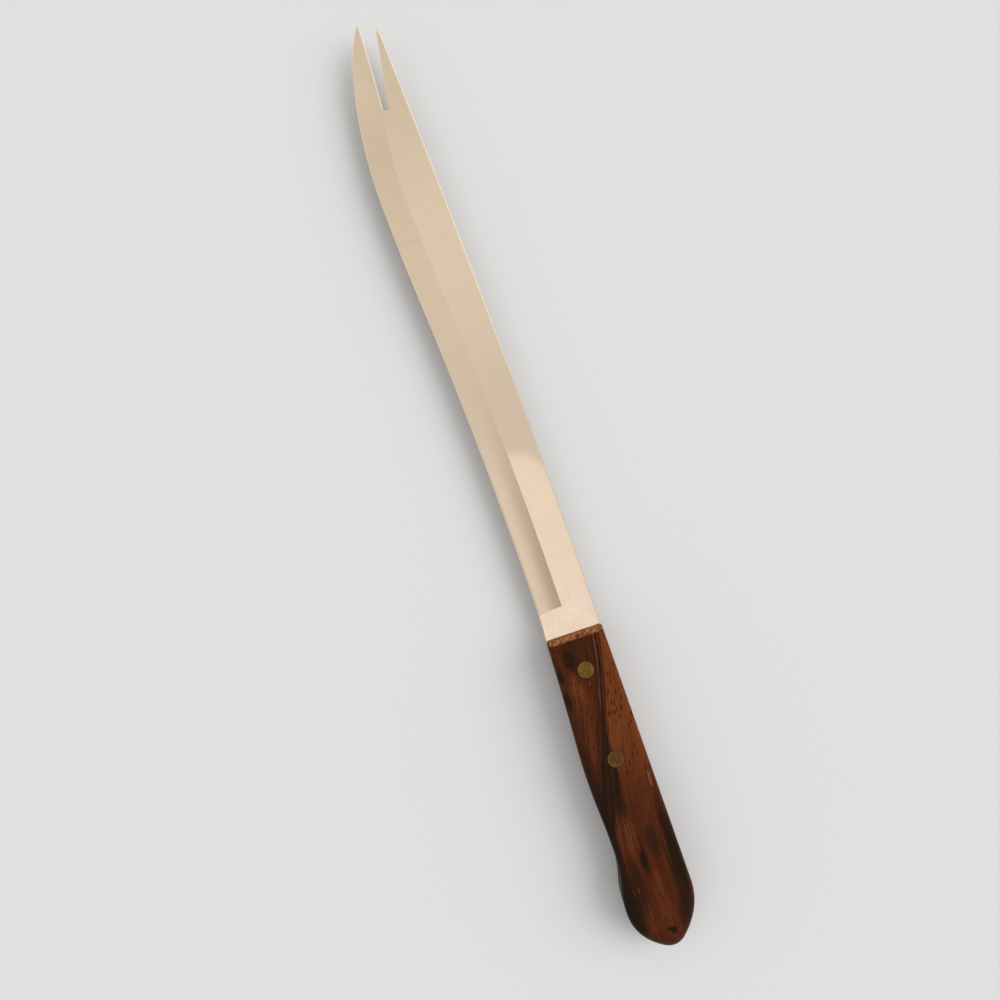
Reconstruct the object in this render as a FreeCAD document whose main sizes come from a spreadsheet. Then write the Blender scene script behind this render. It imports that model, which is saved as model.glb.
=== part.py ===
"""Carving knife with a forked tip, a hollow-ground blade and a riveted wooden handle.

Millimetres. The knife lies on its side: X runs from the fork to the butt, the spine is on +Y, the
cutting edge on -Y, and the handle's flat cheek rests on Z = 0. Every piece is drawn about one datum,
where the blade's middle plane meets the front of the handle, and is then placed from there.
"""
import FreeCAD, Part
import math
import os
import re
import Sketcher

os.makedirs("parts", exist_ok=True)

# Driving dimensions. Heights and depths are measured up and down from the knife's length axis.
# "from_tip" is measured from the point of the lower tine, "from_front" back along the handle from
# its front end, "from_handle" forward along the blade from there, and "from_butt" forward from the butt.
sizes = {
    # blade stock and its outline
    "blade_length": 228.6,
    "blade_thickness": 1.8,
    "spine_height": 12.45,
    "spine_radius": 4540.0,
    "shoulder_from_tip": 9.0,
    "shoulder_height": 5.5,
    "upper_tine_from_tip": 3.15,
    "upper_tine_height": 4.6,
    "lower_tine_depth": 1.05,
    "nose_from_tip": 13.0,
    "nose_depth": 7.25,
    "sweep_from_tip": 37.0,
    "sweep_depth": 12.45,
    "belly_from_tip": 64.0,
    "belly_depth": 13.65,
    "belly_radius": 176.0,
    "recurve_from_tip": 97.0,
    "recurve_depth": 11.9,
    "heel_from_handle": 12.1,
    "heel_depth": 7.35,
    "edge_break": 0.3,
    # slot between the two tines
    "slot_from_tip": 31.6,
    "slot_width": 2.3,
    "slot_depth": 1.13,
    "lower_wall_radius": 800.0,
    "upper_wall_radius": 400.0,
    # hollow grind and the cutting bevel
    "grind_height": 8.8,
    "wheel_radius": 60.0,
    "ricasso_length": 9.6,
    "plunge_rise": 0.12,
    "bevel_height": 0.7,
    "bevel_thickness": 0.42,
    "edge_thickness": 0.08,
    "run_out_radius": 500.0,
    # tang
    "tang_length": 60.0,
    "tang_end_gap": 0.5,
    "tang_side_gap": 0.05,
    # handle
    "handle_length": 114.3,
    "handle_thickness": 15.0,
    "handle_front_depth": 7.85,
    "swell_start_from_front": 38.0,
    "swell_start_depth": 9.4,
    "swell_end_from_butt": 52.3,
    "swell_end_depth": 9.3,
    "waist_from_butt": 36.3,
    "waist_depth": 8.75,
    "beak_from_butt": 16.3,
    "beak_depth": 11.45,
    "back_end_from_butt": 20.8,
    "back_end_height": 13.55,
    "butt_radius": 6.6,
    "butt_height": 0.9,
    "front_bevel": 1.75,
    "edge_rounding": 2.0,
    "butt_rounding": 5.0,
    # rivets
    "front_rivet_from_front": 12.9,
    "rivet_spacing": 32.5,
    "rivet_height": 2.1,
    "rivet_head_diameter": 5.7,
    "rivet_head_thickness": 1.4,
    "rivet_tube_diameter": 3.6,
    "rivet_pin_diameter": 2.4,
    "rivet_pin_gap": 0.4,
    "rivet_gap": 0.05,
    # how far every cut runs past the solid
    "overrun": 2.0,
}

document = FreeCAD.newDocument("carving_knife")
sheet = document.addObject("Spreadsheet::Sheet", "Sizes")
for row, (name, value) in enumerate(sizes.items(), start=1):
    sheet.set(f"A{row}", name)
    sheet.set(f"B{row}", str(value))
    sheet.setAlias(f"B{row}", name)
document.recompute()


def cells(expression):
    """The expression with each size's name pointing at its cell in the sheet."""
    def at_cell(word):
        return f"Sizes.{word[0]}" if word[0] in sizes else word[0]

    return re.sub(r"[a-z_]+", at_cell, expression)


def number(expression):
    """What the expression comes to now."""
    result = sheet.evalExpression(cells(expression))
    return float(getattr(result, "Value", result))


def point(x, y):
    return FreeCAD.Vector(number(x), number(y), 0)


def direction(angle):
    return FreeCAD.Vector(math.cos(angle), math.sin(angle), 0)


def angle_of(vector):
    return math.atan2(vector.y, vector.x)


class Outline:
    """A run of lines and arcs in a sketch. Its knots are places given in sizes, tied to the sheet."""

    def __init__(self, sketch, x, y, back_from=None):
        """Starts level at a place, or goes back from the first knot of another run."""
        self.sketch = sketch
        self.back_from = back_from
        self.place = (x, y)
        self.knot = point(x, y)
        self.heading = back_from.first_heading + math.pi if back_from else 0.0
        self.first_heading = self.heading
        self.first = None
        self.last = None

    def tie(self, kind, *arguments):
        """One constraint, bound to the sheet where its last argument is an expression."""
        expression = arguments[-1]
        if not isinstance(expression, str):
            self.sketch.addConstraint(Sketcher.Constraint(kind, *arguments))
            return
        index = self.sketch.addConstraint(Sketcher.Constraint(kind, *arguments[:-1], number(expression)))
        self.sketch.setExpression(f"Constraints[{index}]", cells(expression))

    def pin(self, geometry, position, x, y):
        """Fixes one point of the sketch at a place."""
        self.tie("DistanceX", -1, 1, geometry, position, x)
        self.tie("DistanceY", -1, 1, geometry, position, y)

    def add(self, curve, start, end, smooth):
        """Joins a curve to the run; start and end are the sketch's numbers for the curve's ends."""
        geometry = self.sketch.addGeometry(curve, False)
        if self.last:
            self.tie("Tangent" if smooth else "Coincident", *self.last, geometry, start)
        else:
            self.first = (geometry, start)
        if self.back_from and not self.last:
            self.tie("Tangent", *self.back_from.first, geometry, start)
        elif self.place:
            self.pin(geometry, start, *self.place)
        self.last = (geometry, end)
        return geometry

    def line(self, x, y, smooth=False):
        end = point(x, y)
        geometry = self.add(Part.LineSegment(self.knot, end), 1, 2, smooth)
        self.heading = angle_of(end - self.knot)
        self.knot = end
        self.place = (x, y)
        return geometry

    def arc(self, centre, end, turn, smooth, place=None):
        """An arc about a centre; turn is 1 to the left and -1 to the right."""
        circle = Part.Circle(centre, FreeCAD.Vector(0, 0, 1), (end - centre).Length)
        here = angle_of(self.knot - centre)
        there = angle_of(end - centre)
        if turn > 0:
            geometry = self.add(Part.ArcOfCircle(circle, here, there), 1, 2, smooth)
        else:
            geometry = self.add(Part.ArcOfCircle(circle, there, here), 2, 1, smooth)
        if self.first[0] == geometry:
            self.first_heading = here + turn * math.pi / 2
        self.heading = there + turn * math.pi / 2
        self.knot = end
        self.place = place
        return geometry

    def smooth_arc(self, x, y):
        """An arc to a place, which leaves the last knot the way the run arrived there."""
        end = point(x, y)
        left = direction(self.heading + math.pi / 2)
        chord = end - self.knot
        reach = chord.dot(chord) / (2 * chord.dot(left))
        starts_level = not self.last and not self.back_from
        start_x = self.place and self.place[0]
        geometry = self.arc(self.knot + left * reach, end, math.copysign(1, reach), True, (x, y))
        if starts_level:
            self.tie("DistanceX", -1, 1, geometry, 3, start_x)
        return geometry

    def radius_arc(self, x, y, radius, turn):
        """An arc of a given radius to a place, less than a half turn."""
        end = point(x, y)
        chord = end - self.knot
        half_turn = math.asin(chord.Length / 2 / number(radius))
        left = direction(angle_of(chord) + turn * (math.pi / 2 - half_turn))
        geometry = self.arc(self.knot + left * number(radius), end, turn, False, (x, y))
        self.tie("Radius", geometry, radius)
        return geometry

    def close(self):
        """A straight line back to the first knot."""
        geometry = self.add(Part.LineSegment(self.knot, self.sketch.getPoint(*self.first)), 1, 2, False)
        self.tie("Coincident", geometry, 2, *self.first)

    def meet(self, other):
        """Ends both runs at the same knot."""
        self.pin(*self.last, *self.place)
        self.tie("Coincident", *self.last, *other.last)


def draw_polygon(sketch, corners):
    """A closed run of straight lines through corners given in sizes."""
    outline = Outline(sketch, *corners[0])
    for corner in corners[1:]:
        outline.line(*corner)
    outline.close()


def draw_circles(sketch, places, diameter):
    """Circles of one diameter about places given in sizes."""
    for place in places:
        outline = Outline(sketch, *place)
        circle = Part.Circle(outline.knot, FreeCAD.Vector(0, 0, 1), number(diameter) / 2)
        geometry = sketch.addGeometry(circle, False)
        outline.pin(geometry, 3, *place)
        outline.tie("Diameter", geometry, diameter)


def new_body(label):
    body = document.addObject("PartDesign::Body", label)
    body.Label = label
    return body


def plane(body, role):
    return next(item for item in body.Origin.OriginFeatures if item.Role == role)


def new_sketch(body, name, role):
    sketch = body.newObject("Sketcher::SketchObject", name)
    sketch.AttachmentSupport = (plane(body, role), [""])
    sketch.MapMode = "FlatFace"
    return sketch


def bind(item, prop, expression):
    """Ties one property to the sheet."""
    item.setExpression(prop, cells(expression))


def place(item, x="0", y="0"):
    """Moves a finished piece from the datum to its place in the knife as it lies."""
    bind(item, "Placement.Base.x", f"(blade_length - handle_length) / 2 + {x}")
    bind(item, "Placement.Base.y", y)
    bind(item, "Placement.Base.z", "handle_thickness / 2")


def new_pad(body, name, sketch, thickness):
    """A plate, half of its thickness on each side of the sketch."""
    feature = body.newObject("PartDesign::Pad", name)
    feature.Profile = sketch
    feature.SideType = "Symmetric"
    bind(feature, "Length", thickness)
    document.recompute()
    return feature


def new_cut(body, kind, name, sketch, sized_by=None, **settings):
    """A feature that has to take material away."""
    before = body.Shape.Volume
    feature = body.newObject(f"PartDesign::{kind}", name)
    feature.Profile = sketch
    for prop, setting in settings.items():
        setattr(feature, prop, setting)
    for prop, expression in (sized_by or {}).items():
        bind(feature, prop, expression)
    document.recompute()
    assert body.Shape.Volume < before, f"{name} cuts nothing"
    return feature


def cut_through(body, name, sketch):
    return new_cut(body, "Pocket", name, sketch, SideType="Symmetric", Type="ThroughAll")


def new_mirror(body, name, originals):
    """The same cuts on the other side of the blade's middle plane."""
    before = body.Shape.Volume
    feature = body.newObject("PartDesign::Mirrored", name)
    feature.Originals = originals
    feature.MirrorPlane = (plane(body, "XY_Plane"), [""])
    body.Tip = feature
    document.recompute()
    assert body.Shape.Volume < before, f"{name} cuts nothing"
    return feature


# Rivets, front and rear, each a tube and a pin.
rivet_distances = {
    "front": "front_rivet_from_front",
    "rear": "(front_rivet_from_front + rivet_spacing)",
}
rivet_places = [(distance, "rivet_height") for distance in rivet_distances.values()]


def draw_handle_outline(sketch):
    """The handle's side view, which the tang in its slot shares."""
    waist = ("handle_length - waist_from_butt", "-waist_depth")
    beak = ("handle_length - beak_from_butt", "-beak_depth")
    back = ("handle_length - back_end_from_butt", "back_end_height")
    outline = Outline(sketch, *waist)
    outline.smooth_arc(*(f"({start} + {end}) / 2" for start, end in zip(waist, beak)))
    outline.smooth_arc(*beak)

    # The butt is a round of its own radius. One arc runs into it from the beak, one from the back.
    butt_radius = number("butt_radius")
    butt_centre = point("handle_length - butt_radius", "butt_height")
    back_end = point(*back)
    back_slope = angle_of(back_end - point("0", "spine_height"))

    def centre_of_arc_into_butt(start, inward):
        offset = start - butt_centre
        reach = (butt_radius ** 2 - offset.dot(offset)) / (2 * (inward.dot(offset) + butt_radius))
        return start + inward * reach

    def end_on_butt(centre):
        return butt_centre + (butt_centre - centre).normalize() * butt_radius

    belly_centre = centre_of_arc_into_butt(outline.knot, direction(math.pi / 2))
    back_centre = centre_of_arc_into_butt(back_end, direction(back_slope - math.pi / 2))
    outline.arc(belly_centre, end_on_butt(belly_centre), 1, True)
    butt = outline.arc(butt_centre, end_on_butt(back_centre), 1, True)
    outline.tie("Radius", butt, "butt_radius")
    outline.pin(butt, 3, "handle_length - butt_radius", "butt_height")
    outline.arc(back_centre, back_end, 1, True, back)
    outline.line("0", "spine_height", smooth=True)
    outline.line("0", "-handle_front_depth")

    belly = Outline(sketch, *waist, back_from=outline)
    belly.smooth_arc("handle_length - swell_end_from_butt", "-swell_end_depth")
    belly.smooth_arc("swell_start_from_front", "-swell_start_depth")
    belly.smooth_arc("0", "-handle_front_depth")
    belly.meet(outline)


# Blade: one strip of steel, forked at the tip, hollow ground on both sides and drawn into a tang.
def draw_edge_to_heel(outline):
    """The cutting edge from the sweep of the tip back to the heel."""
    outline.radius_arc("-blade_length + belly_from_tip", "-belly_depth", "belly_radius", 1)
    outline.smooth_arc("-blade_length + recurve_from_tip", "-recurve_depth")
    outline.smooth_arc("-heel_from_handle", "-heel_depth")


def draw_blade_outline(sketch):
    outline = Outline(sketch, "-blade_length + sweep_from_tip", "-sweep_depth")
    draw_edge_to_heel(outline)
    outline.smooth_arc("0", "-handle_front_depth")
    outline.line("0", "spine_height")
    outline.radius_arc("-blade_length + shoulder_from_tip", "shoulder_height", "spine_radius", 1)
    outline.smooth_arc("-blade_length + upper_tine_from_tip", "upper_tine_height")

    # The slot ends in a round, and each wall is an arc that leaves its tine and runs into the round.
    slot_place = ("-blade_length + slot_from_tip", "-slot_depth")
    slot_end = point(*slot_place)
    slot_radius = number("slot_width / 2")

    def centre_of_wall(tine, radius, side):
        """The arc's centre is its radius from the tine and touches the round from outside."""
        line = slot_end - tine
        along = (radius ** 2 - (radius + slot_radius) ** 2 + line.dot(line)) / (2 * line.Length)
        across = math.sqrt(radius ** 2 - along ** 2)
        slope = angle_of(line)
        return tine + direction(slope) * along + direction(slope + side * math.pi / 2) * across

    def end_on_slot(centre):
        return slot_end + (centre - slot_end).normalize() * slot_radius

    lower_place = ("-blade_length", "-lower_tine_depth")
    lower_tine = point(*lower_place)
    upper_centre = centre_of_wall(outline.knot, number("upper_wall_radius"), 1)
    lower_centre = centre_of_wall(lower_tine, number("lower_wall_radius"), -1)
    upper_wall = outline.arc(upper_centre, end_on_slot(upper_centre), 1, False)
    outline.tie("Radius", upper_wall, "upper_wall_radius")
    slot = outline.arc(slot_end, end_on_slot(lower_centre), -1, True)
    outline.tie("Radius", slot, "slot_width / 2")
    outline.pin(slot, 3, *slot_place)
    lower_wall = outline.arc(lower_centre, lower_tine, 1, True, lower_place)
    outline.tie("Radius", lower_wall, "lower_wall_radius")

    tip = Outline(sketch, "-blade_length + sweep_from_tip", "-sweep_depth", back_from=outline)
    tip.smooth_arc("-blade_length + nose_from_tip", "-nose_depth")
    tip.smooth_arc("-blade_length", "-lower_tine_depth")
    tip.meet(outline)


def break_edges(body, name, base):
    """A small bevel along the outline of both flat sides, but not where the tang goes on."""
    side = number("blade_thickness / 2")

    def is_on_outline(edge):
        on_side = all(abs(abs(vertex.Z) - side) < Part.Precision.confusion() for vertex in edge.Vertexes)
        at_tang = all(abs(vertex.X) < Part.Precision.confusion() for vertex in edge.Vertexes)
        return on_side and not at_tang

    edges = enumerate(base.Shape.Edges, start=1)
    feature = body.newObject("PartDesign::Chamfer", name)
    feature.Base = (base, [f"Edge{index}" for index, edge in edges if is_on_outline(edge)])
    bind(feature, "Size", "edge_break")
    document.recompute()
    return feature


def draw_wheel_profile(sketch):
    """What the wheel and the sharpening stone take off one side, seen along the edge.

    Across is measured from the edge and up from the axis that the wheel swings about to leave.
    """
    level = "-run_out_radius"
    top = f"{level} + blade_thickness"
    bevel_slope = "(bevel_thickness - edge_thickness) / 2 / bevel_height"
    bevel_top = point("bevel_height", f"{level} + bevel_thickness / 2")
    grind_line = point("grind_height", f"{level} + blade_thickness / 2")
    chord = grind_line - bevel_top
    wheel_radius = number("wheel_radius")
    to_centre = math.sqrt(wheel_radius ** 2 - chord.Length ** 2 / 4)
    centre = (bevel_top + grind_line) / 2 + direction(angle_of(chord) + math.pi / 2) * to_centre
    half_width = math.sqrt(wheel_radius ** 2 - (centre.y - number(top)) ** 2)
    wheel_end = FreeCAD.Vector(centre.x + half_width, number(top), 0)

    outline = Outline(sketch, "-overrun", top)
    below_edge = f"{level} + edge_thickness / 2 - overrun * {bevel_slope}"
    outline.line("-overrun", below_edge)
    outline.line("bevel_height", f"{level} + bevel_thickness / 2")
    wheel = outline.arc(centre, wheel_end, 1, False)
    outline.tie("Radius", wheel, "wheel_radius")
    touch = sketch.addGeometry(Part.Point(grind_line), True)
    outline.pin(touch, 1, "grind_height", f"{level} + blade_thickness / 2")
    outline.tie("PointOnObject", touch, 1, wheel)
    outline.close()
    outline.tie("Horizontal", outline.last[0])


def grind(body):
    """Hollow grinds one side along the edge, with the run-out at the fork, then mirrors it."""
    path = new_sketch(body, "wheel_path", "XY_Plane")
    outline = Outline(path, "-blade_length + sweep_from_tip", "-sweep_depth")
    draw_edge_to_heel(outline)
    outline.smooth_arc("-ricasso_length", "-heel_depth + plunge_rise")
    outline.pin(*outline.last, *outline.place)

    profile = new_sketch(body, "wheel_profile", "YZ_Plane")
    draw_wheel_profile(profile)
    reach = "(belly_from_tip - sweep_from_tip)"
    drop = "(belly_depth - sweep_depth)"
    path_slope = f"-atan({drop} / {reach}) - asin(sqrt({reach} ^ 2 + {drop} ^ 2) / 2 / belly_radius)"
    profile.AttachmentOffset = FreeCAD.Placement(
        FreeCAD.Vector(), FreeCAD.Rotation(FreeCAD.Vector(0, 1, 0), number(path_slope))
    )
    bind(profile, "AttachmentOffset.Base.x", "-sweep_depth")
    bind(profile, "AttachmentOffset.Base.y", "run_out_radius")
    bind(profile, "AttachmentOffset.Base.z", "-blade_length + sweep_from_tip")
    bind(profile, "AttachmentOffset.Rotation.Angle", path_slope)
    document.recompute()

    hollow = new_cut(body, "SubtractivePipe", "hollow_grind", profile, Spine=path, Mode="Frenet")
    swing = {"Angle": "acos(1 - blade_thickness / run_out_radius)"}
    run_out = new_cut(body, "Groove", "grind_run_out", profile, swing, ReferenceAxis=(profile, ["H_Axis"]))
    new_mirror(body, "far_side_grind", [hollow, run_out])


def make_blade():
    body = new_body("blade")
    sketch = new_sketch(body, "blade_outline", "XY_Plane")
    draw_blade_outline(sketch)
    plate = new_pad(body, "blade_plate", sketch, "blade_thickness")
    break_edges(body, "broken_edges", plate)
    grind(body)

    sketch = new_sketch(body, "tang_outline", "XY_Plane")
    draw_handle_outline(sketch)
    new_pad(body, "tang", sketch, "blade_thickness")
    sketch = new_sketch(body, "behind_tang", "XY_Plane")
    low = "-(beak_depth + overrun)"
    high = "back_end_height + overrun"
    back = "handle_length + overrun"
    draw_polygon(sketch, [("tang_length", low), (back, low), (back, high), ("tang_length", high)])
    cut_through(body, "tang_end", sketch)
    sketch = new_sketch(body, "tang_hole_circles", "XY_Plane")
    draw_circles(sketch, rivet_places, "rivet_tube_diameter + 2 * rivet_gap")
    cut_through(body, "tang_holes", sketch)
    place(body)
    return body


# Handle: one piece of hardwood, sawn from the front to take the tang and bored for the rivets.
def round_handle(blank):
    """Eases the edges of both cheeks along the grip and rounds them over more at the butt."""
    side = number("handle_thickness / 2")

    def is_cheek_edge(edge):
        on_side = all(abs(abs(vertex.Z) - side) < Part.Precision.confusion() for vertex in edge.Vertexes)
        ends = [vertex.X for vertex in edge.Vertexes]
        return on_side and len(ends) == 2 and abs(ends[0] - ends[1]) > Part.Precision.confusion()

    def radius_at(vertex):
        on_butt = vertex.X > number("handle_length - butt_radius")
        return number("butt_rounding") if on_butt else number("edge_rounding")

    # The radius at an edge's last vertex is given first.
    feature = document.addObject("Part::Fillet", "handle")
    feature.Base = blank
    feature.Edges = [
        (index, radius_at(edge.lastVertex()), radius_at(edge.firstVertex()))
        for index, edge in enumerate(blank.Shape.Edges, start=1)
        if is_cheek_edge(edge)
    ]
    return feature


def make_handle():
    body = new_body("handle_blank")
    sketch = new_sketch(body, "handle_outline", "XY_Plane")
    draw_handle_outline(sketch)
    new_pad(body, "handle_block", sketch, "handle_thickness")

    sketch = new_sketch(body, "saw_slot", "XZ_Plane")
    slot_end = "tang_length + tang_end_gap"
    slot_side = "(blade_thickness / 2 + tang_side_gap)"
    corners = [
        ("-overrun", f"-{slot_side}"),
        (slot_end, f"-{slot_side}"),
        (slot_end, slot_side),
        ("-overrun", slot_side),
    ]
    draw_polygon(sketch, corners)
    cut_through(body, "tang_slot", sketch)

    sketch = new_sketch(body, "front_bevel_corners", "XZ_Plane")
    cheek = "handle_thickness / 2"
    for sign in ("", "-"):
        corners = [
            ("-overrun", f"{sign}({cheek} - front_bevel - overrun)"),
            ("front_bevel + overrun", f"{sign}({cheek} + overrun)"),
            ("-overrun", f"{sign}({cheek} + overrun)"),
        ]
        draw_polygon(sketch, corners)
    cut_through(body, "front_bevels", sketch)

    sketch = new_sketch(body, "rivet_bore_circles", "XY_Plane")
    draw_circles(sketch, rivet_places, "rivet_tube_diameter + 2 * rivet_gap")
    cut_through(body, "rivet_bores", sketch)
    sketch = new_sketch(body, "rivet_seat_circles", "XY_Plane")
    draw_circles(sketch, rivet_places, "rivet_head_diameter + 2 * rivet_gap")
    bind(sketch, "AttachmentOffset.Base.z", cheek)
    document.recompute()
    seats = new_cut(body, "Pocket", "rivet_seats", sketch, {"Length": "rivet_head_thickness"})
    new_mirror(body, "far_side_seats", [seats])

    handle = round_handle(body)
    place(handle)
    return handle


# Rivets: a headed brass tube from one cheek, and a headed brass pin driven into it from the other.
def make_rivet_part(label, distance, corners):
    """Turns a half section, given in sizes, about the rivet's own axis."""
    body = new_body(label)
    sketch = new_sketch(body, f"{label}_section", "XZ_Plane")
    draw_polygon(sketch, corners)
    feature = body.newObject("PartDesign::Revolution", f"{label}_turned")
    feature.Profile = sketch
    feature.ReferenceAxis = (sketch, ["V_Axis"])
    place(body, x=distance, y="rivet_height")
    return body


def make_rivet(name, distance):
    cheek = "handle_thickness / 2"
    head_radius = "rivet_head_diameter / 2"
    tube_radius = "rivet_tube_diameter / 2"
    pin_radius = "rivet_pin_diameter / 2"
    bore_radius = "rivet_pin_diameter / 2 + rivet_gap"
    under_head = f"({cheek} - rivet_head_thickness)"
    tube_section = [
        ("0", cheek),
        (head_radius, cheek),
        (head_radius, under_head),
        (tube_radius, under_head),
        (tube_radius, f"-{under_head}"),
        (bore_radius, f"-{under_head}"),
        (bore_radius, under_head),
        ("0", under_head),
    ]
    pin_section = [
        ("0", f"-{cheek}"),
        (head_radius, f"-{cheek}"),
        (head_radius, f"-{under_head}"),
        (pin_radius, f"-{under_head}"),
        (pin_radius, f"{under_head} - rivet_pin_gap"),
        ("0", f"{under_head} - rivet_pin_gap"),
    ]
    return [
        make_rivet_part(f"{name}_rivet_tube", distance, tube_section),
        make_rivet_part(f"{name}_rivet_pin", distance, pin_section),
    ]


pieces = [make_blade(), make_handle()]
for name, distance in rivet_distances.items():
    pieces += make_rivet(name, distance)
document.recompute()

for item in document.Objects:
    assert not {"Invalid", "Error"} & set(item.State), f"{item.Label} failed: {item.State}"
for piece in pieces:
    is_sound = not piece.Shape.isNull() and piece.Shape.isValid()
    assert is_sound and len(piece.Shape.Solids) == 1, f"{piece.Label} is not one sound solid"
for piece in pieces:
    piece.Shape.exportStep(f"parts/{piece.Label}.step")
    print(piece.Label, round(piece.Shape.Volume, 1), piece.Shape.BoundBox)
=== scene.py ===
"""Carving knife with a forked tip, a hollow-ground blade and a riveted wooden handle.

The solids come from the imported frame, in metres. This script gives each piece its finish, in the order
in which the knife is put together, and then sets the floor, the light and the camera. In the finishes a
place is in millimetres of the frame, and a pair of values is where a change begins and where it is full.
"""
import math
import bpy
from mathutils import Matrix, Vector


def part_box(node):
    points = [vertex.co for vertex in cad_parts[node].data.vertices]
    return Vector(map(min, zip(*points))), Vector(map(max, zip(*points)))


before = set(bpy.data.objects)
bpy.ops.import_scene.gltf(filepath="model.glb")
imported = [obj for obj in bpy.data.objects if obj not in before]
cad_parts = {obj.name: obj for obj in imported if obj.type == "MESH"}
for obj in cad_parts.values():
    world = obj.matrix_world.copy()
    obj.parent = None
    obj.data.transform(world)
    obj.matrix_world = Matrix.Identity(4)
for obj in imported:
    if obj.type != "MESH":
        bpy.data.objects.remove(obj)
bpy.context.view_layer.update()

# Blade: one strip of stainless steel with a tang that the handle covers. The flats are polished bright.
# A wheel hollows both sides down to the edge and leaves fine lines across the hollow. The bevels that
# break the sharp edges are matt and carry a painted highlight that fades out towards the heel.
mm_per_metre = 1000.0


class Signal:
    """A value in a material's nodes. Arithmetic on it adds Math nodes to the same material."""

    def __init__(self, tree, socket=None):
        self.tree = tree
        self.socket = socket

    def node(self, kind, settings=None, inputs=None, output=0):
        """Any other node: its settings first, then the values or links of its sockets."""
        new = self.tree.nodes.new(kind)
        for name, setting in (settings or {}).items():
            setattr(new, name, setting)
        for name, value in (inputs or {}).items():
            if isinstance(value, Signal):
                self.tree.links.new(value.socket, new.inputs[name])
            else:
                new.inputs[name].default_value = value
        return Signal(self.tree, new.outputs[output] if new.outputs else None)

    def math(self, operation, *values):
        return self.node("ShaderNodeMath", {"operation": operation}, dict(enumerate(values)))

    def __add__(self, other):
        return self.math("ADD", self, other)

    def __radd__(self, other):
        return self.math("ADD", other, self)

    def __sub__(self, other):
        return self.math("SUBTRACT", self, other)

    def __rsub__(self, other):
        return self.math("SUBTRACT", other, self)

    def __mul__(self, other):
        return self.math("MULTIPLY", self, other)

    def __rmul__(self, other):
        return self.math("MULTIPLY", other, self)

    def __truediv__(self, other):
        return self.math("DIVIDE", self, other)

    def __abs__(self):
        return self.math("ABSOLUTE", self)


def new_finish(name):
    """An empty material, its nodes and the place on the object in millimetres, as x, y and z."""
    material = bpy.data.materials.new(name)
    material.use_nodes = True
    material.node_tree.nodes.clear()
    nodes = Signal(material.node_tree)
    place = nodes.node("ShaderNodeTexCoord", output="Object")
    in_mm = {0: place, "Scale": mm_per_metre}
    place = nodes.node("ShaderNodeVectorMath", {"operation": "SCALE"}, in_mm)
    axes = [nodes.node("ShaderNodeSeparateXYZ", inputs={0: place}, output=axis) for axis in "XYZ"]
    return material, nodes, axes


def facing(nodes, axis):
    """How far a face looks along an axis, from -1 to 1."""
    normal = nodes.node("ShaderNodeNewGeometry", output="True Normal")
    return nodes.node("ShaderNodeSeparateXYZ", inputs={0: normal}, output=axis)


def rise(value, begins, full):
    """0 before a change begins, 1 where it is full, and a smooth step between them."""
    inputs = {"Value": value, "From Min": begins, "From Max": full}
    return value.node("ShaderNodeMapRange", {"interpolation_type": "SMOOTHSTEP"}, inputs)


def between(value, rises, falls):
    """1 between a pair in which a change comes and a pair in which it goes again."""
    return rise(value, *rises) * (1.0 - rise(value, *falls))


def noise(x, y, z, detail=2.0, roughness=0.5):
    """Noise from 0 to 1. The three values count lumps: millimetres times the lumps in one of them."""
    at = x.node("ShaderNodeCombineXYZ", inputs={0: x, 1: y, 2: z})
    inputs = {"Vector": at, "Scale": 1.0, "Detail": detail, "Roughness": roughness}
    return x.node("ShaderNodeTexNoise", inputs=inputs)


def mix(share, colour, other):
    """One colour where the share is 0 and the other where it is 1."""
    return share.node("ShaderNodeMix", {"data_type": "RGBA"}, {0: share, 6: colour, 7: other}, 2)


def dress(material, nodes, inputs, pieces):
    """Ends a finish in one shader and gives it to pieces of the frame."""
    surface = nodes.node("ShaderNodeBsdfPrincipled", inputs=inputs)
    nodes.node("ShaderNodeOutputMaterial", inputs={"Surface": surface})
    for name in pieces:
        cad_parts[name].data.materials[0] = material


steel, nodes, (x, y, z) = new_finish("polished_steel")
tip_colour = (0.845, 0.675, 0.49, 1.0)
heel_colour = (0.855, 0.675, 0.515, 1.0)
smudge_colour = (0.95, 0.765, 0.625, 1.0)
dull_colour = (0.69, 0.54, 0.39, 1.0)
rim_highlight_colour = (1.0, 0.87, 0.67, 1.0)
stain_colour = (0.26, 0.17, 0.10, 1.0)
handle_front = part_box("handle")[0][0] * mm_per_metre
tip_to_heel = (-110.0, -30.0)
dull_hollow_comes = (-148.0, -122.0)
dull_hollow_goes = (-112.0, 0.0)
rim_highlight_goes = (-70.0, -10.0)
smudges_come = (28.0, 50.0)
tang_comes = (handle_front + 0.2, handle_front + 1.2)

# A face's tilt out of the blade's plane tells the hollow and the broken edges from the flats and walls.
hollow_tilt = (0.00002, 0.0004)
bevel_tilt = (0.08, 0.2)
wall_tilt = (0.4, 0.7)
tilt = 1.0 - abs(facing(nodes, "Z"))
hollow = rise(tilt, *hollow_tilt)
# Painted highlight: the broken edges are made paler and less metallic, less so towards the heel.
painted_rim_highlight = between(tilt, bevel_tilt, wall_tilt) * (1.0 - rise(x, *rim_highlight_goes) * 0.85)
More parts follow.
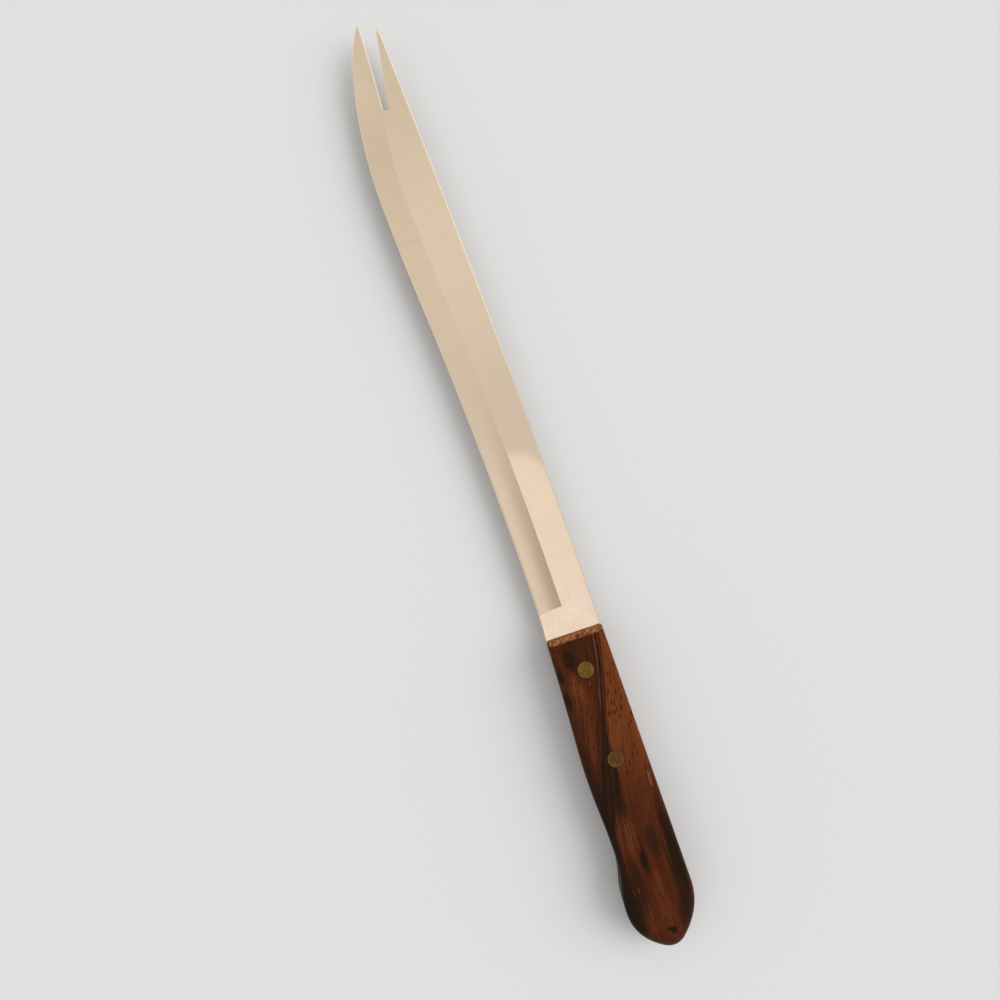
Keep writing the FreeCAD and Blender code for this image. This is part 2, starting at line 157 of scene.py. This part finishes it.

# Marks on the steel: the wheel's lines, a thin haze, smudges by the handle, a duller hollow towards the
# fork and the stained tang.
line_levels = (0.4, 0.65)
smudge_levels = (0.42, 0.62)
stain_levels = (0.35, 0.65)
wheel_lines = noise(x * 0.9, y * 0.17, z * 0.17, detail=6.0, roughness=0.7)
haze = noise(x * 0.06 + y * 0.1, y * 0.16 - x * 0.12, z * 0.15, detail=4.0)
smudge = noise(x * 0.22, y * 0.3, z * 0.3, detail=5.0, roughness=0.65)
smudge = rise(smudge, *smudge_levels) * rise(x, *smudges_come)
# The hollow is duller and darker from the fork back to about the middle of the blade.
dulled_hollow = hollow * between(x, dull_hollow_comes, dull_hollow_goes) * (0.32 + rise(wheel_lines, *line_levels) * 0.12)
dulled_hollow = dulled_hollow + hollow * (wheel_lines - 0.5) * 0.12
tang = rise(x, *tang_comes)
stain = noise(x * 0.35, y * 0.5, z * 0.6, detail=5.0, roughness=0.7)
stain = tang * (0.35 + rise(stain, *stain_levels) * 0.5)

colour = mix(rise(x, *tip_to_heel), tip_colour, heel_colour)
colour = mix(smudge * (1.0 - hollow) * 0.75, colour, smudge_colour)
colour = mix(haze * 0.25 + dulled_hollow, colour, dull_colour)
# The painted highlight on the broken edges.
colour = mix(painted_rim_highlight * 0.7, colour, rim_highlight_colour)
colour = mix(stain, colour, stain_colour)
roughness = 0.04 + haze * 0.02 + smudge * 0.05 + hollow * (0.06 + wheel_lines * 0.08)
roughness = roughness + painted_rim_highlight * 0.5 + tang * 0.3
ridge_height = 0.05 / mm_per_metre
ridges = {"Strength": 0.1, "Distance": ridge_height, "Height": wheel_lines * hollow}
dress(
    steel,
    nodes,
    {
        "Base Color": colour,
        "Metallic": 1.0 - painted_rim_highlight * 0.5,
        "Roughness": roughness,
        "Normal": nodes.node("ShaderNodeBump", inputs=ridges),
    },
    ["blade"],
)

# Handle: one block of open-grained tropical hardwood, sawn for the tang, oiled and worn by hand.
# The grain runs down from the spine towards the belly. A black vein follows it between brown wood with
# darker blotches, and all of them lean through the block's thickness.
wood, nodes, (x, y, z) = new_finish("oiled_hardwood")
red_brown = (0.058, 0.0115, 0.0024, 1.0)
orange_brown = (0.165, 0.042, 0.0095, 1.0)
vein_colour = (0.0115, 0.0050, 0.0022, 1.0)
pale_line_colour = (0.17, 0.075, 0.034, 1.0)
pore_colour = (0.022, 0.006, 0.002, 1.0)
scuff_colour = (0.30, 0.15, 0.07, 1.0)
lit_end_grain_colour = (0.46, 0.17, 0.052, 1.0)
end_pore_colour = (0.10, 0.034, 0.011, 1.0)
torn_fibre_glint_colour = (1.0, 0.62, 0.25, 1.0)

# The grain lies in sheets. "lean" carries a place along its sheet to the upper cheek, and "sheet" carries
# it on to the front of the handle. Both are heights over the knife's length axis.
cheek_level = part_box("handle")[1][2] * mm_per_metre
from_middle = abs(z - cheek_level / 2)
sheet_lean = 0.4
grain_falls = (45.0, 142.0)
grain_fall = 14.0
wobble_depth = 1.2
lean = y + (cheek_level - z) * sheet_lean
wobble = (noise(x * 0.03, lean * 0.12, z * 0.05) - 0.5) * wobble_depth
sheet = lean + rise(x, *grain_falls) * grain_fall + wobble

# The grain's texture, from broad bands down to fine fibres, and the ragged rim that it gives a blotch.
grain_levels = (0.4, 0.6)
fibre_levels = (0.39, 0.61)
bands = noise(x * 0.012, sheet * 0.4, z * 0.05, detail=3.0)
streaks = noise(x * 0.05, sheet * 0.9, z * 0.15, detail=5.0, roughness=0.62)
fibres = noise(x * 0.06, sheet * 1.8, z * 0.3, detail=4.0, roughness=0.6)
fine_fibres = noise(x * 0.16, sheet * 5.0, z * 0.8, detail=3.0, roughness=0.6)
fibre_shade = (fibres - 0.5) * 0.5
ragged = noise(x * 0.14, lean * 0.8, z * 0.2, detail=5.0, roughness=0.65) - 0.5
ragged = ragged * 1.2 + (streaks - 0.5) * 1.4
blotch_rim = (0.6, 1.4)


def distance(along, across):
    """The length of a line from how far it goes along and across."""
    return along.math("SQRT", along * along + across * across)


def blotch(along, across, long, tall):
    """1 in a ragged oval, given by its middle on the upper cheek and its two radii."""
    return 1.0 - rise(distance((x - along) / long, (lean - across) / tall) + ragged, *blotch_rim)


def blotches(ovals):
    """Several such ovals together, each with its strength after its middle and radii."""
    return sum(blotch(*oval) * strength for *oval, strength in ovals)


# The main vein falls from the spine at the front to the belly. Heights over it are in "from_vein".
vein_height = 10.25
vein_falls = (45.0, 150.0)
vein_fall = 20.0
vein_dips = (78.0, 104.0)
vein_dip = 0.85
vein_line = vein_height - rise(x, *vein_falls) * vein_fall - rise(x, *vein_dips) * vein_dip
from_vein = lean + wobble - vein_line

# Brighter wood lies above the vein at the front, in patches below it and around the butt.
above_vein = (0.2, 1.8)
bright_wood_goes = (94.0, 118.0)
grip_darkens = (112.0, 132.0)
butt_painted_shade = (162.0, 171.0)
bright_ovals = (
    (74.0, -2.6, 5.0, 1.8, 0.3),
    (80.0, -2.6, 9.0, 2.4, 0.4),
    (97.0, -4.2, 8.0, 1.8, 0.25),
    (129.0, -2.0, 8.0, 3.4, 0.35),
    (147.5, 1.5, 5.0, 2.4, 0.3),
    (160.0, 0.5, 8.0, 6.5, 0.34),
)
orange = 0.12 + rise(from_vein, *above_vein) * (1.0 - rise(x, *bright_wood_goes)) * 0.6
# The wood darkens towards the rear of the grip, and at the butt a painted shade darkens its rounded end.
orange = orange - rise(x, *grip_darkens) * 0.2 - rise(x, *butt_painted_shade) * 0.3 + blotches(bright_ovals)
orange = orange + (bands - 0.5) * 0.7 + (rise(streaks, *grain_levels) - 0.5) * 0.3
orange = orange + (rise(fibres, *fibre_levels) - 0.5) * 0.45 + (fine_fibres - 0.5) * 1.2
colour = mix(orange, red_brown, orange_brown)

# The vein is thin lines at the front, solid below the rear rivet, then wide and ending in fingers, which
# reach further back on its lower side.
thin_half = 0.9
vein_widens = (88.0, 112.0)
vein_widening = 4.6
vein_spreads_up = (110.0, 124.0)
spread_up = 1.6
vein_spreads_down = (98.0, 121.0)
spread_down = 1.4
upper_rim = (-0.5, 0.3)
lower_rim = (-0.3, 0.4)
widening = rise(x, *vein_widens)
upper_half = thin_half + widening * vein_widening + rise(x, *vein_spreads_up) * spread_up
lower_half = thin_half + rise(x, *vein_spreads_down) * spread_down
vein = (1.0 - rise(from_vein - upper_half, *upper_rim)) * rise(from_vein + lower_half, *lower_rim)

vein_line_frequency = 5.2
vein_line_waver = 6.0
vein_line_levels = (-0.2, 0.7)
vein_closes = (72.0, 92.0)
vein_lines = from_vein * vein_line_frequency / (1.0 + widening) + fibres * vein_line_waver
vein_lines = rise(x.math("SINE", vein_lines), *vein_line_levels)
solid = rise(x, *vein_closes) * 0.78
vein = vein * (vein_lines * (1.0 - solid) + solid)

finger_length = 26.0
lower_finger_reach = 10.0
lower_side = (0.5, 2.5)
vein_ends = (119.0, 127.0)
fingers = noise(x * 0.015, sheet * 1.3, z * 0.2) - 0.5
finger_end = x + fingers * finger_length - (1.0 - rise(from_vein, *lower_side)) * lower_finger_reach
vein = vein * (1.0 - rise(finger_end, *vein_ends)) * (1.0 + fibre_shade)

# Dark stripes run through all of the wood, and they are darker below the vein.
stripe_levels = (0.47, 0.57)
below_vein = (-2.0, 0.5)
stripes = rise(streaks * 0.35 + fibres * 0.65, *stripe_levels)
stripes = stripes * (0.2 + (1.0 - rise(from_vein, *below_vein)) * 0.42)
bare = (1.0 - vein) * (1.0 - stripes)

# Dark blotches: along, across, two radii and strength. The long ones along the spine's and the belly's
# edges towards the butt are painted shade on the rounded edges. The last two are a small knot near the
# butt.
dark_wood_and_shade_ovals = (
    (65.5, -2.6, 3.6, 2.0, 0.85),
    (64.0, 0.5, 9.0, 5.0, 0.4),
    (70.0, -6.8, 3.0, 1.0, 0.8),
    (78.5, -7.0, 3.2, 0.9, 0.8),
    (108.0, -7.5, 14.0, 1.6, 0.5),
    # Painted shade along the spine's rounded edge:
    (136.0, 11.5, 15.0, 2.2, 0.9),
    (150.0, 10.2, 16.0, 2.6, 0.75),
    (161.5, 8.0, 7.0, 2.0, 0.75),
    (133.0, 5.2, 5.5, 2.4, 0.6),
    (138.6, 0.2, 3.0, 1.2, 0.95),
    (140.8, -0.2, 2.0, 0.9, 0.6),
    (136.0, 0.6, 9.0, 0.6, 0.6),
    (146.0, -4.4, 9.0, 2.2, 0.65),
    # Painted shade along the belly's rounded edge:
    (122.0, -7.8, 15.0, 1.5, 0.85),
    (140.0, -7.6, 14.0, 1.4, 0.85),
    (150.0, -10.6, 10.0, 2.0, 0.8),
    (157.0, -8.8, 11.0, 2.6, 0.95),
    (164.7, 2.1, 1.1, 1.2, 0.95),
    (164.0, 0.8, 0.9, 0.8, 0.75),
)
for *oval, strength in dark_wood_and_shade_ovals:
    bare = bare * (1.0 - blotch(*oval) * (strength + fibre_shade))


def line_below_vein(depth, rim, goes):
    """1 on a thin line at a depth below the vein, up to where it goes out along the handle."""
    return (1.0 - rise(abs(from_vein + depth), *rim)) * (1.0 - rise(x, *goes))


# A second thin line runs below the vein at the front, and a darker band of wood follows it on to the middle
# of the grip.
dark_band_bottom = (-3.6, -1.8)
dark_band_top = (-1.2, -0.4)
dark_band_comes = (76.0, 88.0)
dark_band_goes = (104.0, 114.0)
butt_rim_painted_shade = (165.0, 172.0)
second_line = line_below_vein(depth=1.75, rim=(0.15, 0.5), goes=dark_band_comes)
dark_band = between(from_vein, dark_band_bottom, dark_band_top) * between(x, dark_band_comes, dark_band_goes)
bare = bare * (1.0 - second_line * (0.6 + fibre_shade)) * (1.0 - dark_band * (0.45 + fibre_shade))
# Painted shade on the butt's rounded rim.
bare = bare * (1.0 - rise(x, *butt_rim_painted_shade) * 0.3)

# Old polish lies dark in the joint around each rivet.
rivet_places = ("front", "rear")
rivet_middles = []
for place in rivet_places:
    low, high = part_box(f"{place}_rivet_tube")
    rivet_middles.append((low + high) / 2 * mm_per_metre)
    rivet_radius = (high.x - low.x) / 2 * mm_per_metre
polish_ring = (rivet_radius, rivet_radius + 0.45)
for middle in rivet_middles:
    bare = bare * (0.3 + rise(distance(x - middle.x, y - middle.y), *polish_ring) * 0.7)

# The same polish fills the joint along the tang, where it shows on both edges of the handle.
tang_half = 0.9
slot_length = 60.5
slot_end = handle_front + slot_length
joint_goes = (slot_end, slot_end + 0.6)
joint_rim = (0.06, 0.35)
past_joint = 2.0
from_tang = from_middle - tang_half + rise(x, *joint_goes) * past_joint
bare = bare * (0.25 + rise(from_tang, *joint_rim) * 0.75)
colour = mix(1.0 - bare, colour, vein_colour)

# A pale line lies between the vein and the second thin line.
pale_line = line_below_vein(depth=0.95, rim=(0.1, 0.4), goes=(78.0, 88.0))
colour = mix(pale_line * rise(fibres, *grain_levels) * 0.36, colour, pale_line_colour)

# Open pores: short dark dashes along the grain, closer together in some places than in others.
crowded_oval = (88.0, 6.5, 6.0, 1.6)
pore_rim = (0.22, 0.4)
pore_chances = (0.44, 0.52)
pores_thin_out = (118.0, 140.0)
pore_place = x.node("ShaderNodeCombineXYZ", inputs={0: x * 0.31, 1: sheet * 1.35, 2: z * 0.9})
pore_inputs = {"Vector": pore_place, "Scale": 1.0}
from_pore = x.node("ShaderNodeTexVoronoi", inputs=pore_inputs, output="Distance")
pore_chance = x.node("ShaderNodeTexVoronoi", inputs=pore_inputs, output="Color")
pore_chance = x.node("ShaderNodeSeparateColor", inputs={0: pore_chance})
crowding = noise(x * 0.09, sheet * 0.35, z * 0.1) + blotch(*crowded_oval) * 0.25
pores = rise(pore_chance + (crowding - 0.5) * 1.8, *pore_chances)
pores = pores * (1.0 - rise(from_pore, *pore_rim)) * (1.0 - rise(x, *pores_thin_out) * 0.5)
colour = mix(pores * 0.85, colour, pore_colour)

# Scuffs, given as the blotches are, have rubbed the oil off in three places.
scuff_ovals = (
    (112.5, 11.0, 2.6, 0.5, 1.0),
    (148.0, -5.0, 1.0, 0.4, 0.4),
    (75.0, 2.0, 0.8, 0.3, 0.6),
)
scuffs = blotches(scuff_ovals) * rise(fine_fibres, *grain_levels) * 0.5
colour = mix(scuffs, colour, scuff_colour)

# The front was cut across the grain and left rough. Its end grain is painted light and golden, as if lit
# from the front, and torn fibres on the flat end and on the bevels at both cheeks carry painted glints.
# Towards the cheeks it is partly worn back to the colour of the wood behind it.
front_end = (handle_front + 3.35, handle_front + 4.35)
front_levels = (0.15, 0.7)
end_grain_levels = (0.36, 0.6)
bevel_facing = (-0.99, -0.85)
stroke_levels = (0.55, 0.64)
rough_levels = (0.53, 0.64)
torn_levels = (0.36, 0.56)
worn_off_from_middle = (3.6, 7.0)
forward = facing(nodes, "X")
bevelled = rise(forward, *bevel_facing)
end_grain = noise(y * 0.8 + z * 0.3, z * 0.6, x * 0.7, detail=5.0, roughness=0.72)
strokes = rise(noise(y * 1.3 + x * 1.1, (y - x) * 0.35, z * 0.3), *stroke_levels)
rough_cut = noise(y * 1.9 + z * 1.5, z * 0.3 - y * 0.55, x * 0.5, detail=3.0, roughness=0.6)
rough_cut = rise(rough_cut, *rough_levels)
torn_fibre_glints = bevelled * strokes * 0.45 + (1.0 - bevelled) * rough_cut * 0.5
torn_fibre_glints = torn_fibre_glints * rise(noise(y * 0.3, z * 0.3, x * 0.3), *torn_levels)
worn_off = rise(from_middle + (end_grain - 0.5) * 9.0, *worn_off_from_middle)
front = rise((end_grain - 0.5) * 1.5 - forward, *front_levels) * (1.0 - rise(x, *front_end))
# Painted light: the end grain is made golden as if lit from the front.
end_colour = mix(rise(end_grain, *end_grain_levels), end_pore_colour, lit_end_grain_colour)
# Painted glints on the torn fibres.
end_colour = mix(torn_fibre_glints, end_colour, torn_fibre_glint_colour)
end_colour = mix(worn_off * 0.4, end_colour, colour)
colour = mix(front, colour, end_colour)

relief_depth = 0.1 / mm_per_metre
relief = fibres * 0.3 - pores + front * end_grain * 3.0
relief = {"Strength": 0.3, "Distance": relief_depth, "Height": relief}
dress(
    wood,
    nodes,
    {
        "Base Color": colour,
        "Roughness": 0.40 + fibres * 0.12 + pores * 0.2 + front * 0.3,
        "Specular IOR Level": 0.075,
        "Normal": nodes.node("ShaderNodeBump", inputs=relief),
    },
    ["handle"],
)

# Rivets: two brass cutler's rivets, each a headed tube and a headed pin driven into it, ground flush
# with the cheeks and gone dull with age. The rear one is the darker of the two.
brass, nodes, (x, y, z) = new_finish("aged_brass")
brass_colour = (0.285, 0.146, 0.042, 1.0)
rivet_rim_highlight_colour = (0.36, 0.22, 0.085, 1.0)
tarnish_colour = (0.117, 0.051, 0.017, 1.0)
between_rivets = (80.0, 95.0)
tarnish_levels = (0.2, 0.9)
rivet_highlight_inside = (rivet_radius - 0.5, rivet_radius - 0.15)
rivet_highlight_outside = (rivet_radius + 0.05, rivet_radius + 0.35)
tarnish = noise(x * 0.9, y * 0.9, z * 0.9, detail=5.0, roughness=0.6)
tarnish = rise(tarnish + rise(x, *between_rivets) * 0.24, *tarnish_levels)
colour = mix(tarnish, brass_colour, tarnish_colour)
# A faint painted highlight lies on the rim of each rivet.
for middle in rivet_middles:
    rivet_rim_highlight = between(distance(x - middle.x, y - middle.y), rivet_highlight_inside, rivet_highlight_outside)
    colour = mix(rivet_rim_highlight * 0.15, colour, rivet_rim_highlight_colour)
scratches = noise(x * 0.7 + y * 3.0, y * 0.7 - x * 3.0, z, detail=3.0)
dress(
    brass,
    nodes,
    {"Base Color": colour, "Metallic": 1.0, "Roughness": 0.38 + scratches * 0.15},
    [f"{place}_rivet_{piece}" for place in rivet_places for piece in ("tube", "pin")],
)

# Floor: a plain pale sheet of paper that the knife lies on. It is no part of the knife, and it runs well
# past the picture on every side.
floor_half = 3.0
paper_colour = (0.66, 0.66, 0.655, 1.0)
corner_signs = ((-1, -1), (1, -1), (1, 1), (-1, 1))
corners = [(along * floor_half, across * floor_half, 0.0) for along, across in corner_signs]
floor_mesh = bpy.data.meshes.new("floor")
floor_mesh.from_pydata(corners, [], [(0, 1, 2, 3)])
floor = bpy.data.objects.new("floor", floor_mesh)
bpy.context.collection.objects.link(floor)
paper, nodes, _ = new_finish("pale_paper")
surface = nodes.node("ShaderNodeBsdfDiffuse", inputs={"Color": paper_colour})
nodes.node("ShaderNodeOutputMaterial", inputs={"Surface": surface})
floor_mesh.materials.append(paper)

# Light: an even room, with walls that darken towards their foot and have soft windows all round, and a
# soft lamp on the spine's side. The steel mirrors the room but not the lamp, so the wall behind the lamp
# glows in its place.
world = bpy.data.worlds.new("room")
bpy.context.scene.world = world
world.use_nodes = True
world.node_tree.nodes.clear()
nodes = Signal(world.node_tree)
way = nodes.node("ShaderNodeTexCoord", output="Generated")
east, north, height = [nodes.node("ShaderNodeSeparateXYZ", inputs={0: way}, output=axis) for axis in "XYZ"]
lamp_way = Vector((0.1, 0.9, 0.8)).normalized()
lamp_glow_spread = (0.82, 0.966)
walls_end = (0.66, 0.80)
upper_walls_begin = (0.30, 0.46)
walls_brighten = (0.0, 0.64)
window_count = 5.0
window_levels = (-0.5, 0.5)
walls = 1.0 - rise(height, *walls_end)
windows = rise(east.math("SINE", east.math("ARCTAN2", north, east) * window_count), *window_levels) - 0.5
wall_level = walls * (rise(height, *walls_brighten) * 0.25 - 0.15)
wall_level = wall_level + walls * rise(height, *upper_walls_begin) * windows * 0.2
by_lamp = rise(east * lamp_way.x + north * lamp_way.y + height * lamp_way.z, *lamp_glow_spread)

# The ceiling, measured along and across for each unit of its height, shows in the blade from above: a glow
# in the front half, a warm shade in the rear of the hollow and a pale panel in the flat near the handle.
least_height = 0.05
glow_middle = -0.40
glow_rim = (0.03, 0.19)
shade_along = (-0.25, -0.02)
shade_deepens = (-0.1, 0.08)
shade_near = (-0.5, -0.36)
shade_far = (-0.32, -0.11)
panel_middle = 0.006
panel_half = 0.155
panel_corners_begin = -0.04
panel_corner = 0.11
panel_squareness = 5.0
panel_rim = (0.94, 1.06)
panel_near = (-0.17, 0.0)
ceiling = 1.0 - walls
ceiling_height = height.math("MAXIMUM", height, least_height)
along = east / ceiling_height
across = north / ceiling_height
glow = ceiling * (1.0 - rise(abs(along - glow_middle), *glow_rim))
shade = ceiling * rise(along, *shade_along) * between(across, shade_near, shade_far)
panel_side = abs(along - panel_middle) / panel_half
panel_end = across.math("MAXIMUM", across - panel_corners_begin, 0.0) / panel_corner
panel = along.math("POWER", panel_side, panel_squareness) + along.math("POWER", panel_end, panel_squareness)
panel = ceiling * (1.0 - rise(panel, *panel_rim)) * rise(across, *panel_near)

plain_light = (1.0, 1.0, 1.0, 1.0)
warm_shade = (1.0, 0.92, 0.77, 1.0)
room_level = 0.765 + glow * 0.09 - shade * (0.33 + rise(along, *shade_deepens) * 0.2) + panel * 0.22
room_level = room_level + wall_level + by_lamp * 0.18
room_colour = mix(shade, plain_light, warm_shade)
room = nodes.node("ShaderNodeBackground", inputs={"Color": room_colour, "Strength": room_level})
nodes.node("ShaderNodeOutputWorld", inputs={"Surface": room})

lamp = bpy.data.lights.new("soft_lamp", "SUN")
lamp.energy = 1.6
lamp.angle = 0.9
lamp_holder = bpy.data.objects.new("soft_lamp", lamp)
lamp_holder.rotation_euler = lamp_way.to_track_quat("Z", "Y").to_euler()
lamp_holder.visible_glossy = False
bpy.context.collection.objects.link(lamp_holder)

# Camera: straight above the knife and a little behind its middle, turned so that the fork points up and
# somewhat to the left. The lens and the shift give the photograph's frame.
camera_place = (0.034, -0.00722, 0.3083)
picture_right = Vector((0.31977, 0.9475))
camera_data = bpy.data.cameras.new("camera")
camera_data.lens = 30.6
camera_data.sensor_width = 36.0
camera_data.shift_x = -0.0268
camera_data.shift_y = 0.0795
camera = bpy.data.objects.new("camera", camera_data)
bpy.context.collection.objects.link(camera)
bpy.context.scene.camera = camera
turn = math.atan2(picture_right.y, picture_right.x)
camera.matrix_world = Matrix.Translation(camera_place) @ Matrix.Rotation(turn, 4, "Z")

bpy.context.scene.view_settings.view_transform = "Standard"
